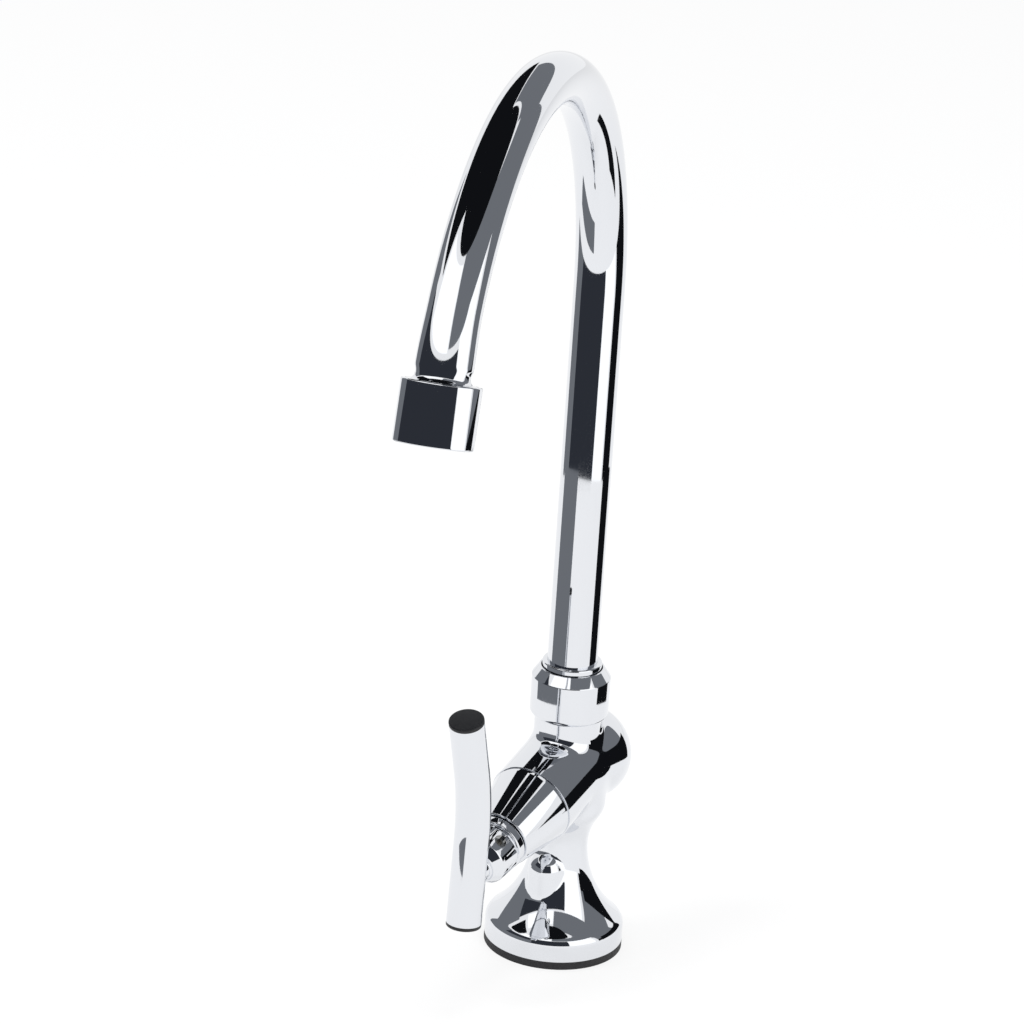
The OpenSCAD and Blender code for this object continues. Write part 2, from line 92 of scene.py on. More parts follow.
def length(label, description, mm):
    return FloatProperty(name=label, description=description, default=mm * MM, min=0, precision=5,
                         unit="LENGTH")


def angle(label, description, degrees):
    return FloatProperty(name=label, description=description, default=math.radians(degrees), unit="ROTATION")


def colour(label, description, hex_colour):
    return FloatVectorProperty(name=label, description=description, size=3, min=0, max=1, subtype="COLOR",
                               default=srgb(hex_colour)[:3])


def power(label, description, watts):
    return FloatProperty(name=label, description=description, default=watts, min=0, unit="POWER")


class CastBodySizes(bpy.types.PropertyGroup):
    foot_r: length("Foot radius", "Radius of the round foot", FOOT_R)
    foot_z: length("Foot height", "Height of the foot's underside, on top of the rubber ring", GASKET_T)
    waist_r: length("Waist radius", "Radius at the narrowest place", 9.1)
    waist_z: length("Waist height", "Height of the narrowest place", 35.5)
    trumpet_r: length("Trumpet sweep", "Radius of the hollow sweep from waist to foot", 32.5)
    throat_r: length("Throat sweep", "Radius of the hollow sweep from waist to barrel", 18.0)
    throat_top_r: length("Throat top radius", "Radius where the throat meets the barrel", 13.8)
    barrel_z: length("Barrel height", "Height of the valve barrel's axis above the deck", 62.0)
    barrel_tilt: angle("Barrel tilt", "Slope of the valve barrel, down towards the front", 16.0)
    barrel_r: length("Barrel radius", "Outer radius of the valve barrel", 14.2)
    barrel_front: length("Barrel front", "From the riser's axis to the barrel's front face", 22.0)
    barrel_back: length("Barrel back", "From the riser's axis to the barrel's round back", 10.0)
    ball_r: length("Ball radius", "Radius of the ball at the back", 15.0)
    ball_back: length("Ball distance", "How far the ball lies behind the riser's axis", 13.0)
    ball_z: length("Ball height", "Height of the ball's centre", 61.5)
    boss_r: length("Boss radius", "Radius of the small domed boss on the front", 6.0)
    boss_reach: length("Boss reach", "How far the boss lies before the riser's axis", 7.4)
    boss_foot_z: length("Boss foot height", "Height of the boss's lower end", 19.8)
    boss_dome_z: length("Boss dome height", "Height of the centre of the boss's dome", 28.0)
    socket_r: length("Socket radius", "Radius of the socket under the spout's nut", 10.8)
    socket_z: length("Socket height", "Height of the socket's mouth", 86.0)
    inlet_r: length("Inlet radius", "Minor radius of the inlet's thread", 9.5)
    inlet_boss_r: length("Inlet boss radius", "Radius of the centring boss under the foot", 12.0)
    inlet_depth: length("Inlet depth", "Length of the inlet's thread", 15.0)
    thread_pitch: length("Thread pitch", "Pitch of the inlet's pipe thread", 1.814)
    thread_depth: length("Thread depth", "Depth of the inlet's pipe thread", 1.16)
    waterway_r: length("Waterway radius", "Radius of the way up from the inlet", 5.0)


class ValveSizes(bpy.types.PropertyGroup):
    bonnet_r: length("Bonnet radius", "Radius at the bonnet's wide end", 13.95)
    bonnet_end_r: length("Bonnet end radius", "Radius at the bonnet's narrow end", 9.9)
    bonnet_l: length("Bonnet length", "Length of the cone-shaped bonnet", 19.5)
    bonnet_end_t: length("Bonnet end wall", "Thickness of the bonnet's end wall", 2.9)
    bonnet_skirt_r: length("Bonnet skirt", "Radius of the bonnet's bore over the barrel's spigot", 11.4)
    bonnet_skirt_l: length("Bonnet skirt depth", "Depth of that bore", 5.6)
    bonnet_cavity_r: length("Bonnet cavity", "Radius of the hollow in the bonnet", 8.8)
    stem_hole_r: length("Stem hole radius", "Radius of the bonnet's hole round the stem", 4.35)
    hub_r: length("Hub radius", "Radius of the hub's collar", 9.3)
    hub_l: length("Hub length", "From the hub's foot to the end of its flutes", 11.6)
    hub_gap: length("Hub gap", "Gap between bonnet and hub", 0.35)
    hub_collar_l: length("Hub collar", "Length of the plain collar at the hub's foot", 3.0)
    hub_neck_l: length("Hub neck", "Length of the groove between collar and flutes", 1.2)
    hub_neck_in: length("Hub neck depth", "Depth of that groove", 1.0)
    hub_bore_r: length("Hub bore", "Radius of the hub's bore", 4.1)
    flutes: IntProperty(name="Flutes", description="Number of flutes round the hub", default=12, min=3)
    flute_r: length("Flute radius", "Radius of each flute", 1.5)
    flute_out: length("Flute offset", "How far a flute's centre lies outside the hub", 0.7)
    grub_turn: angle("Screw turn", "Place of the small screw round the hub", 52.0)
    grub_at: length("Screw height", "From the hub's foot to the small screw", 7.4)
    grub_r: length("Screw hole radius", "Radius of the small screw's hole", 2.05)
    lever_station: length("Lever station", "From the riser's axis to the lever's, along the barrel", 61.6)
    lever_r: length("Lever radius", "Outer radius of the bent lever", 5.6)
    lever_wall: length("Lever wall", "Wall of the lever's tube", 1.1)
    lever_kick: angle("Lever kick", "How much the lever bends", 19.5)
    lever_below: length("Lever below", "Length of the lever below the hub's axis", 15.5)
    lever_straight: length("Lever straight", "Length from the hub's axis to the bend", 11.5)
    lever_bend_r: length("Lever bend", "Radius of the lever's bend", 75.0)
    lever_upper: length("Lever upper", "Length above the bend", 19.0)
    plug_t: length("Plug thickness", "Thickness of the plugs' heads", 1.3)
    plug_shank_l: length("Plug shank", "Length of the plugs' shanks in the tube", 5.0)


class SpoutSizes(bpy.types.PropertyGroup):
    nut_r: length("Nut radius", "Radius of the nut at the foot of the spout", NUT_R)
    nut_z: length("Nut height", "Height of the nut's lower end", NUT_Z)
    nut_top_z: length("Nut top", "Height of the nut's top", NUT_TOP_Z)
    shoulder_h: length("Shoulder height", "Height of the nut's cone-shaped shoulder", 3.2)
    nut_bore_r: length("Nut bore", "Radius of the nut's bore", 11.0)
    nut_lip_z: length("Nut lip height", "Height of the underside of the nut's lip", 89.0)
    nut_gap: length("Nut gap", "Gap between the nut's lip and the collar", 0.35)
    collar_r: length("Collar radius", "Radius of the collar that stands out of the nut", 9.5)
    collar_foot_z: length("Collar foot", "Height of the foot of the collar's plug", COLLAR_FOOT_Z)
    collar_top_z: length("Collar top", "Height of the collar's top", COLLAR_TOP_Z)
    collar_flange_r: length("Collar flange radius", "Radius of the flange under the nut's lip", 10.65)
    collar_flange_z: length("Collar flange height", "Height of the flange's underside", 86.05)
    collar_flange_t: length("Collar flange thickness", "Thickness of the flange", 2.2)
    collar_plug_r: length("Collar plug radius", "Radius of the plug in the socket", 8.9)
    collar_way_r: length("Collar waterway", "Radius of the waterway through the plug", 6.2)
    groove_w: length("Groove width", "Width of the plug's ring grooves", 2.0)
    groove_depth: length("Groove depth", "Depth of the plug's ring grooves", 1.7)
    tube_r: length("Tube radius", "Outer radius of the spout's tube", 8.0)
    tube_wall: length("Tube wall", "Wall of the spout's tube", 1.0)
    tube_foot_z: length("Tube foot height", "Height of the tube's lower end, in the collar", 82.05)
    bend_z: length("Bend height", "Height where the gooseneck's bend starts", 224.0)
    bend_r: length("Bend radius", "Radius of the gooseneck's bend", 90.0)
    bend_angle: angle("Bend angle", "How far the gooseneck bends", 161.5)
    swing: angle("Swing", "How far the spout is swung from the front", 14.0)
    tube_stub: length("Tube stub", "Length of tube inside the ferrule", 6.0)
    swell_r: length("Swell radius", "Radius of the tube's swell above the outlet", 8.45)
    swell_l: length("Swell length", "Length over which the tube swells", 22.0)
    neck_r: length("Neck radius", "Radius of the hollow neck below the swell", 7.96)
    sweep_r: length("Neck sweep", "Radius of the sweep from the neck to the aerator", 1.6)
    aerator_r: length("Aerator radius", "Outer radius of the aerator's housing", 11.7)
    aerator_l: length("Aerator length", "Length of the aerator's housing", 18.2)
    aerator_wall: length("Aerator wall", "Wall of the aerator's housing", 1.35)
    aerator_lip: length("Aerator lip", "Width and thickness of the lip at the outlet", 1.0)
    ferrule_l: length("Ferrule length", "Length of the ferrule inside the housing", 11.0)


class FinishColours(bpy.types.PropertyGroup):
    chrome: colour("Chrome plate", "Colour of the chrome", "#e4e6ea")
    brass: colour("Machined brass", "Colour of the bare brass inside", "#c79a4b")
    black_rubber: colour("Nitrile rubber", "Colour of the rubber ring and seals", "#17171a")
    black_plastic: colour("Moulded nylon", "Colour of the lever's plugs", "#101114")
    white_ceramic: colour("Alumina ceramic", "Colour of the valve's discs", "#ece9df")
    nylon: colour("White nylon", "Colour of the thrust and swivel washers", "#e6e3d8")
    pale_plastic: colour("Pale acetal", "Colour of the aerator's insert", "#d9d9d6")
    stainless: colour("Stainless steel", "Colour of the screens, clip and small screw", "#a9a8a5")


class StudioSettings(bpy.types.PropertyGroup):
    camera_around: angle("Camera angle", "Angle round the faucet, from the front towards +X", 27.88)
    camera_away: length("Camera distance", "Level distance of the camera from the riser's axis", 1680.5)
    camera_height: length("Camera height", "Height of the camera above the deck", 814.2)
    camera_pitch: angle("Camera pitch", "How far the camera looks down", 21.64)
    camera_yaw: angle("Camera yaw", "How far the camera looks aside", -0.76)
    camera_roll: angle("Camera roll", "How far the camera is turned about its own axis", 3.82)
    camera_lens: length("Lens", "Focal length for a 36 mm sensor", 202.16)
    key_power: power("Key lamp", "Power of the lamp at the front left", 34.0)
    fill_power: power("Fill lamp", "Power of the lamp at the right", 18.0)
    top_power: power("Top lamp", "Power of the lamp overhead", 26.0)
    paper: colour("Paper", "Colour of the studio's paper floor", "#f4f4f4")


def plain(group):
    """A group's settings by name, its lengths in millimetres and its angles in degrees."""
    out = {}
    for key in type(group).__annotations__:
        value, unit = getattr(group, key), group.bl_rna.properties[key].unit
        if unit == "LENGTH":
            value = round(value / MM, 4)
        elif unit == "ROTATION":
            value = round(math.degrees(value), 4)
        out[key] = value
    return SimpleNamespace(**out)


def settings():
    """The settings of the body, the valve and the spout."""
    scene = bpy.context.scene
    return plain(scene.faucet_body), plain(scene.faucet_valve), plain(scene.faucet_spout)


# ---------------------------------------------------------------- places
def turn_x(degrees):
    return Matrix.Rotation(math.radians(degrees), 4, "X")


def turn_z(degrees):
    return Matrix.Rotation(math.radians(degrees), 4, "Z")


def shift(x, y, z):
    return Matrix.Translation(Vector((x, y, z)) * MM)


def on_barrel(body):
    """Z runs down the valve barrel from the riser's axis."""
    return shift(0, 0, body.barrel_z) @ turn_x(90 + body.barrel_tilt)


def on_lever(body, valve):
    """Z runs up the lever's lower, straight part."""
    return on_barrel(body) @ shift(0, 0, valve.lever_station) @ turn_x(-90 - valve.lever_kick)


def at_lever_top(body, valve):
    bend = shift(0, -valve.lever_bend_r, valve.lever_straight) @ turn_x(valve.lever_kick)
    return on_lever(body, valve) @ bend @ shift(0, valve.lever_bend_r, valve.lever_upper)


def on_spout(spout):
    return turn_z(spout.swing)


def at_outlet(spout):
    """Z runs down out of the spout from the end of its bend."""
    bend = shift(0, -spout.bend_r, spout.bend_z) @ turn_x(spout.bend_angle) @ shift(0, spout.bend_r, 0)
    return on_spout(spout) @ bend


# ---------------------------------------------------------------- small modelling tools
def deselect():
    if bpy.context.object and bpy.context.object.mode != "OBJECT":
        bpy.ops.object.mode_set(mode="OBJECT")
    bpy.ops.object.select_all(action="DESELECT")


def only(obj):
    deselect()
    obj.select_set(True)
    bpy.context.view_layer.objects.active = obj


def apply_all(obj):
    only(obj)
    for modifier in list(obj.modifiers):
        bpy.ops.object.modifier_apply(modifier=modifier.name)


def place(obj, matrix):
    """Moves the mesh itself, so that the object stays at the origin."""
    obj.data.transform(matrix)
    obj.data.update()
    return obj


def smooth(obj, degrees=25):
    only(obj)
    bpy.ops.object.shade_smooth_by_angle(angle=math.radians(degrees), keep_sharp_edges=False)


def arc_points(centre, radius, start, end, steps):
    """Points on an arc from one angle to another, in degrees."""
    out = []
    for i in range(steps + 1):
        a = math.radians(start + (end - start) * i / steps)
        out.append((centre[0] + radius * math.cos(a), centre[1] + radius * math.sin(a)))
    return out


def rounded(points, steps=7):
    """A profile of (r, z) and (r, z, corner radius), with its corners as arcs."""
    out = [points[0][:2]]
    for before, point, after in zip(points, points[1:], points[2:]):
        corner = Vector(point[:2])
        if len(point) == 2:
            out.append(tuple(corner))
            continue
        a = (Vector(before[:2]) - corner).normalized()
        b = (Vector(after[:2]) - corner).normalized()
        half = a.angle(b) / 2
        centre = corner + (a + b).normalized() * (point[2] / math.sin(half))
        start = corner + a * (point[2] / math.tan(half)) - centre
        end = corner + b * (point[2] / math.tan(half)) - centre
        sweep = start.angle_signed(end)
        for k in range(steps + 1):
            t = -sweep * k / steps
            out.append((centre.x + start.x * math.cos(t) - start.y * math.sin(t),
                        centre.y + start.x * math.sin(t) + start.y * math.cos(t)))
    return out + [points[-1][:2]]


def merge_and_recalculate():
    bpy.ops.mesh.select_all(action="SELECT")
    bpy.ops.mesh.remove_doubles(threshold=WELD * MM)
    bpy.ops.mesh.normals_make_consistent(inside=False)
    bpy.ops.object.mode_set(mode="OBJECT")


def draw_line(name, points):
    """One vertex, extruded from point to point in the XZ plane. It stays in edit mode."""
    deselect()
    bpy.ops.mesh.primitive_plane_add(size=MM)
    obj = bpy.context.object
    obj.name = obj.data.name = name
    bpy.ops.object.mode_set(mode="EDIT")
    bpy.ops.mesh.select_all(action="SELECT")
    bpy.ops.mesh.merge(type="CENTER")
    last = Vector((0, 0, 0))
    for i, (x, z) in enumerate(points):
        here = Vector((x, 0, z)) * MM
        if i == 0:
            bpy.ops.transform.translate(value=here - last)
        else:
            bpy.ops.mesh.extrude_region_move(TRANSFORM_OT_translate={"value": here - last})
        last = here
    return obj


def turned(name, points, steps=160, matrix=None, degrees=25, closed=False):
    """A piece turned on a lathe: the half profile is drawn and spun about Z."""
    line = list(points)
    if closed:
        line.append(line[0])
    obj = draw_line(name, line)
    bpy.ops.mesh.select_all(action="SELECT")
    bpy.ops.mesh.spin(steps=steps, angle=math.tau, center=(0, 0, 0), axis=(0, 0, 1))
    merge_and_recalculate()
    if matrix:
        place(obj, matrix)
    smooth(obj, degrees)
    return obj


def swept(name, radius, wall, legs, sides=96):
    """A tube: a circle carried along straight legs (length) and bends (radius, degrees, steps) towards -Y."""
    deselect()
    bpy.ops.mesh.primitive_circle_add(vertices=sides, radius=radius * MM, fill_type="NOTHING")
    obj = bpy.context.object
    obj.name = obj.data.name = name
    bpy.ops.object.mode_set(mode="EDIT")
    bpy.ops.mesh.select_all(action="SELECT")
    at, lean = Vector((0, 0, 0)), 0.0
    for leg in legs:
        if len(leg) == 1:
            step = Vector((0, -math.sin(lean), math.cos(lean))) * leg[0]
            bpy.ops.mesh.extrude_region_move(TRANSFORM_OT_translate={"value": step * MM})
            at = at + step
        else:
            bend_r, degrees, steps = leg
            centre = at + Vector((0, -math.cos(lean), -math.sin(lean))) * bend_r
            bpy.ops.mesh.spin(steps=steps, angle=math.radians(degrees), center=centre * MM, axis=(-1, 0, 0))
            lean += math.radians(degrees)
            at = centre + Vector((0, math.cos(lean), math.sin(lean))) * bend_r
    merge_and_recalculate()
    shell = obj.modifiers.new("wall", "SOLIDIFY")
    shell.thickness, shell.offset, shell.use_rim = wall * MM, -1, True
    apply_all(obj)
    return obj


def drum(radius, low, high, matrix=None, sides=128):
    """A plain cylinder used only to cut with."""
    deselect()
    bpy.ops.mesh.primitive_cylinder_add(vertices=sides, radius=radius * MM, depth=(high - low) * MM,
                                        location=(0, 0, (low + high) / 2 * MM))
    bpy.ops.object.transform_apply()
    return place(bpy.context.object, matrix) if matrix else bpy.context.object


def cut(obj, cutter):
    """Takes the cutter's shape out of the piece and deletes the cutter."""
    modifier = obj.modifiers.new("cut", "BOOLEAN")
    modifier.operation, modifier.solver, modifier.object = "DIFFERENCE", "EXACT", cutter
    apply_all(obj)
    bpy.data.objects.remove(cutter)


def seal(obj):
    """Merges what the cuts left double and closes the slits that are left."""
    only(obj)
    bpy.ops.object.mode_set(mode="EDIT")
    bpy.ops.mesh.select_all(action="SELECT")
    bpy.ops.mesh.remove_doubles(threshold=SLIT * MM)
    bpy.ops.mesh.fill_holes(sides=0)
    bpy.ops.mesh.select_all(action="DESELECT")
    bpy.ops.object.mode_set(mode="OBJECT")


def open_edges(obj):
    mesh = bmesh.new()
    mesh.from_mesh(obj.data)
    count = sum(1 for edge in mesh.edges if not edge.is_manifold)
    mesh.free()
    return count


def finish_piece(obj, body, slot, *nodes):
    """Gives the piece its finish, its body and the nodes that it stands for."""
    count = open_edges(obj)
    if count:
        raise RuntimeError(f"{obj.name} isn't closed: {count} edges lack a face on one side")
    obj.data.materials.clear()
    obj.data.materials.append(finish(slot))
    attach(obj, body)
    if nodes:
        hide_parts(*nodes)
    return {"FINISHED"}


# ---------------------------------------------------------------- materials
def add(tree, kind, values=None, links=None):
    """Adds one node: values are its inputs or properties, links are {input: output socket}."""
    node = tree.nodes.new(kind)
    for key, value in (values or {}).items():
        if isinstance(key, int) or key in node.inputs:
            node.inputs[key].default_value = value
        else:
            setattr(node, key, value)
    for key, source in (links or {}).items():
        tree.links.new(source, node.inputs[key])
    return node


def new_tree(owner):
    owner.use_nodes = True
    owner.node_tree.nodes.clear()
    return owner.node_tree


def new_material(name, base, metallic, roughness):
    mat = bpy.data.materials.new(name)
    tree = new_tree(mat)
    values = {"Base Color": (*base, 1.0), "Metallic": metallic, "Roughness": roughness}
    shader = add(tree, "ShaderNodeBsdfPrincipled", values)
    add(tree, "ShaderNodeOutputMaterial", links={"Surface": shader.outputs["BSDF"]})
    mat.diffuse_color = (*base, 1.0)
    return mat, tree, shader


def cloud(tree, size_mm, detail=4.0, stretch=(1.0, 1.0, 1.0)):
    """Noise on Object coordinates whose blotches are about size_mm across, drawn out by stretch."""
    where = add(tree, "ShaderNodeTexCoord")
    spread = add(tree, "ShaderNodeMapping", {"Scale": stretch}, {"Vector": where.outputs["Object"]})
    return add(tree, "ShaderNodeTexNoise", {"Scale": 1 / (size_mm * MM), "Detail": detail, "Roughness": 0.55},
               {"Vector": spread.outputs["Vector"]}).outputs["Fac"]


NOISE_MIDDLE = {"From Min": 0.25, "From Max": 0.75}  # most of a noise's values lie between these
MIX_FACTOR, MIX_A, MIX_B, MIX_RESULT = 0, 6, 7, 2  # the Mix node's sockets for colours


def vary_roughness(tree, shader, pattern, low, high):
    """Runs the roughness from low to high over the middle of the pattern's values."""
    spread = add(tree, "ShaderNodeMapRange", {**NOISE_MIDDLE, "To Min": low, "To Max": high},
                 {"Value": pattern})
    tree.links.new(spread.outputs["Result"], shader.inputs["Roughness"])


def raise_bump(tree, shader, height, depth_mm):
    bump = add(tree, "ShaderNodeBump", {"Strength": 1.0, "Distance": depth_mm * MM}, {"Height": height})
    tree.links.new(bump.outputs["Normal"], shader.inputs["Normal"])


def fine_grain(tree, shader, size_mm, low, high, depth_mm):
    """A grain that stands depth_mm proud and runs the roughness from low to high."""
    grain = cloud(tree, size_mm)
    vary_roughness(tree, shader, grain, low, high)
    raise_bump(tree, shader, grain, depth_mm)


def vary_colour(tree, shader, pattern, base, dark):
    """Runs the colour from a darker share of itself to itself."""
    low = tuple(c * dark for c in base)
    mixed = add(tree, "ShaderNodeMix", {"data_type": "RGBA", MIX_A: (*low, 1.0), MIX_B: (*base, 1.0)},
                {MIX_FACTOR: pattern})
    tree.links.new(mixed.outputs[MIX_RESULT], shader.inputs["Base Color"])


def chrome_plate(base):
    """Chrome over polished brass: a cool, near-perfect mirror. Hand polishing leaves it gently wavy,
    and wiping leaves a faint haze with fine drawn-out scratches, drawn coarser than real to show."""
    mat, tree, shader = new_material("chrome_plate", base, 1.0, 0.03)
    haze = add(tree, "ShaderNodeMapRange", {**NOISE_MIDDLE, "To Min": 0.0, "To Max": 0.028},
               {"Value": cloud(tree, 6.0)})
    scratches = add(tree, "ShaderNodeMapRange", {**NOISE_MIDDLE, "To Min": 0.012, "To Max": 0.03},
                    {"Value": cloud(tree, 0.5, detail=3.0, stretch=(1.0, 1.0, 0.08))})
    both = add(tree, "ShaderNodeMath", {"operation": "ADD"},
               {0: haze.outputs["Result"], 1: scratches.outputs["Result"]})
    tree.links.new(both.outputs[0], shader.inputs["Roughness"])
    raise_bump(tree, shader, cloud(tree, 11.0, detail=1.0), 0.012)
    return mat


def machined_brass(base):
    """Bare brass from the lathe: warm metal with a fine turning haze."""
    mat, tree, shader = new_material("machined_brass", base, 1.0, 0.25)
    fine_grain(tree, shader, 0.4, 0.2, 0.34, 0.002)
    vary_colour(tree, shader, cloud(tree, 3.0), base, 0.85)
    return mat


def nitrile_rubber(base):
    """Moulded black rubber: matte, with a dusty sheen and a fine grain."""
    mat, tree, shader = new_material("nitrile_rubber", base, 0.0, 0.6)
    fine_grain(tree, shader, 0.5, 0.5, 0.75, 0.01)
    vary_colour(tree, shader, cloud(tree, 2.5), base, 0.7)
    return mat


def moulded_nylon(base):
    """Black moulded nylon: satin, with the fine grain of the mould."""
    mat, tree, shader = new_material("moulded_nylon", base, 0.0, 0.45)
    fine_grain(tree, shader, 0.35, 0.38, 0.58, 0.01)
    vary_colour(tree, shader, cloud(tree, 1.5), base, 0.75)
    return mat


def alumina_ceramic(base):
    """Fired alumina, lapped flat: dense, off-white and almost polished."""
    mat, tree, shader = new_material("alumina_ceramic", base, 0.0, 0.15)
    vary_roughness(tree, shader, cloud(tree, 0.8), 0.1, 0.22)
    vary_colour(tree, shader, cloud(tree, 0.3), base, 0.95)
    return mat


def white_nylon(base):
    """Stamped nylon washers: milky and satin."""
    mat, tree, shader = new_material("white_nylon", base, 0.0, 0.4)
    fine_grain(tree, shader, 0.6, 0.35, 0.5, 0.004)
    return mat


def pale_acetal(base):
    """Moulded acetal: pale grey, smooth and slightly waxy."""
    mat, tree, shader = new_material("pale_acetal", base, 0.0, 0.35)
    fine_grain(tree, shader, 0.5, 0.28, 0.45, 0.004)
    return mat


def stainless_steel(base):
    """Bright stainless steel: etched screens, a stamped clip and a turned screw."""
    mat, tree, shader = new_material("stainless_steel", base, 1.0, 0.22)
    fine_grain(tree, shader, 0.3, 0.15, 0.3, 0.002)
    return mat


FINISHES = {
    "chrome": chrome_plate,
    "brass": machined_brass,
    "black_rubber": nitrile_rubber,
    "black_plastic": moulded_nylon,
    "white_ceramic": alumina_ceramic,
    "nylon": white_nylon,
    "pale_plastic": pale_acetal,
    "stainless": stainless_steel,
}


def finish(slot):
    """The material of a slot, made the first time that it is asked for."""
    make = FINISHES[slot]
    known = bpy.data.materials.get(make.__name__)
    return known or make(tuple(getattr(bpy.context.scene.faucet_finish, slot)))


# ---------------------------------------------------------------- the cast body
def soft_union(a, b, k):
    """Joins two distances with a fillet of about k."""
    h = np.clip(k - np.abs(a - b), 0, None) / k
    return np.minimum(a, b) - h * h * k / 4


def soft_overlap(a, b, k):
    return -soft_union(-a, -b, k)


# Fillets of the casting, in millimetres
FOOT_EDGE = 1.6
THROAT_EDGE = 2.0
BACK_FILLET = 3.0
BODY_FILLET = 1.6
SOCKET_FILLET = 2.4
BOSS_FILLET = 0.9
# How far the rough form, and what cuts it, run past the casting's flat faces
OVERRUN = 1.5
FOOT_OVERRUN = 3.6
SOCKET_OVERRUN = 1.0
CUTTER_REACH = 20.0
# The skin's grid, the step that finds its slope, and how it slides on to the true surface
SKIN_VOXEL = 0.62
SLOPE_STEP = 0.02
LONGEST_SLIDE = 0.6
LEAST_SLOPE_SQUARED = 0.25


def casting_distance(s):
    """The signed distance in millimetres to the casting, fillets included, as a function of points."""
    tilt = math.radians(s.barrel_tilt)

    def distance(p):
        x, y, z = p[:, 0], p[:, 1], p[:, 2]
        rho = np.hypot(x, y)
        trumpet = s.trumpet_r - np.hypot(rho - s.waist_r - s.trumpet_r, z - s.waist_z)
        trumpet = soft_overlap(trumpet, rho - s.foot_r, FOOT_EDGE)
        throat = s.throat_r - np.hypot(rho - s.waist_r - s.throat_r, z - s.waist_z)
        throat = np.maximum(soft_overlap(throat, rho - s.throat_top_r, THROAT_EDGE), z - s.barrel_z)
        along = -y * math.cos(tilt) - (z - s.barrel_z) * math.sin(tilt)
        radial = np.hypot(x, -y * math.sin(tilt) + (z - s.barrel_z) * math.cos(tilt))
        round_back = np.hypot(radial, along + s.barrel_back)
        barrel = np.where(along < -s.barrel_back, round_back, radial) - s.barrel_r
        barrel = np.maximum(barrel, along - s.barrel_front - OVERRUN)
        back = np.sqrt(x ** 2 + (y - s.ball_back) ** 2 + (z - s.ball_z) ** 2) - s.ball_r
        upright = np.where(z < s.waist_z, trumpet, throat)
        out = soft_union(upright, soft_union(barrel, back, BACK_FILLET), BODY_FILLET)
        socket = np.maximum(np.maximum(rho - s.socket_r, z - s.socket_z - OVERRUN), s.barrel_z - z)
        out = soft_union(out, socket, SOCKET_FILLET)
        reach = np.hypot(x, y + s.boss_reach)
        boss = np.where(z > s.boss_dome_z, np.hypot(reach, z - s.boss_dome_z), reach) - s.boss_r
        return soft_union(out, np.maximum(boss, s.boss_foot_z - z), BOSS_FILLET)

    return distance


def onto_surface(p, distance, times):
    """Moves points along the distance's slope until they lie on the surface."""
    for _ in range(times):
        rise = [distance(p + step) - distance(p - step) for step in SLOPE_STEP * np.eye(3)]
        slope = np.stack(rise, 1) / (2 * SLOPE_STEP)
        size = np.clip((slope * slope).sum(1), LEAST_SLOPE_SQUARED, None)
        p = p - slope * np.clip(distance(p) / size, -LONGEST_SLIDE, LONGEST_SLIDE)[:, None]
    return p


def settle(obj, distance, rounds=5, relax=2):
    """Slides the vertices of a remeshed form onto the true surface and evens them out along it."""
    mesh = obj.data
    count = len(mesh.vertices)
    flat = np.empty(count * 3)
    mesh.vertices.foreach_get("co", flat)
    ends = np.empty(len(mesh.edges) * 2, int)
    mesh.edges.foreach_get("vertices", ends)
    ends = ends.reshape(-1, 2)
    neighbours = np.bincount(ends.ravel(), minlength=count)[:, None]
    p = onto_surface(flat.reshape(-1, 3) / MM, distance, rounds)
    for _ in range(relax):
        around = np.zeros_like(p)
        np.add.at(around, ends[:, 0], p[ends[:, 1]])
        np.add.at(around, ends[:, 1], p[ends[:, 0]])
        p = onto_surface(p + 0.5 * (around / neighbours - p), distance, 2)
    mesh.vertices.foreach_set("co", (p * MM).ravel())
    mesh.update()


def casting_side(s):
    """Half profile of the turned part: trumpet, waist, throat and socket, filled to the axis."""
    foot, top = s.foot_z - FOOT_OVERRUN, s.socket_z + SOCKET_OVERRUN
    trumpet_end = math.degrees(math.acos((s.waist_r + s.trumpet_r - s.foot_r) / s.trumpet_r))
    throat_end = math.degrees(math.acos((s.waist_r + s.throat_r - s.throat_top_r) / s.throat_r))
    side = [(0, foot), (s.foot_r, foot)]
    side += arc_points((s.waist_r + s.trumpet_r, s.waist_z), s.trumpet_r, 180 + trumpet_end, 180, 24)
    side += arc_points((s.waist_r + s.throat_r, s.waist_z), s.throat_r, 180, 180 - throat_end, 10)[1:]
    return side + [(s.throat_top_r, s.barrel_z), (s.socket_r, s.barrel_z), (s.socket_r, top), (0, top)]


def ball(radius, centre):
    deselect()
    bpy.ops.mesh.primitive_uv_sphere_add(segments=64, ring_count=32, radius=radius * MM, location=centre)
    bpy.ops.object.transform_apply()
    return bpy.context.object


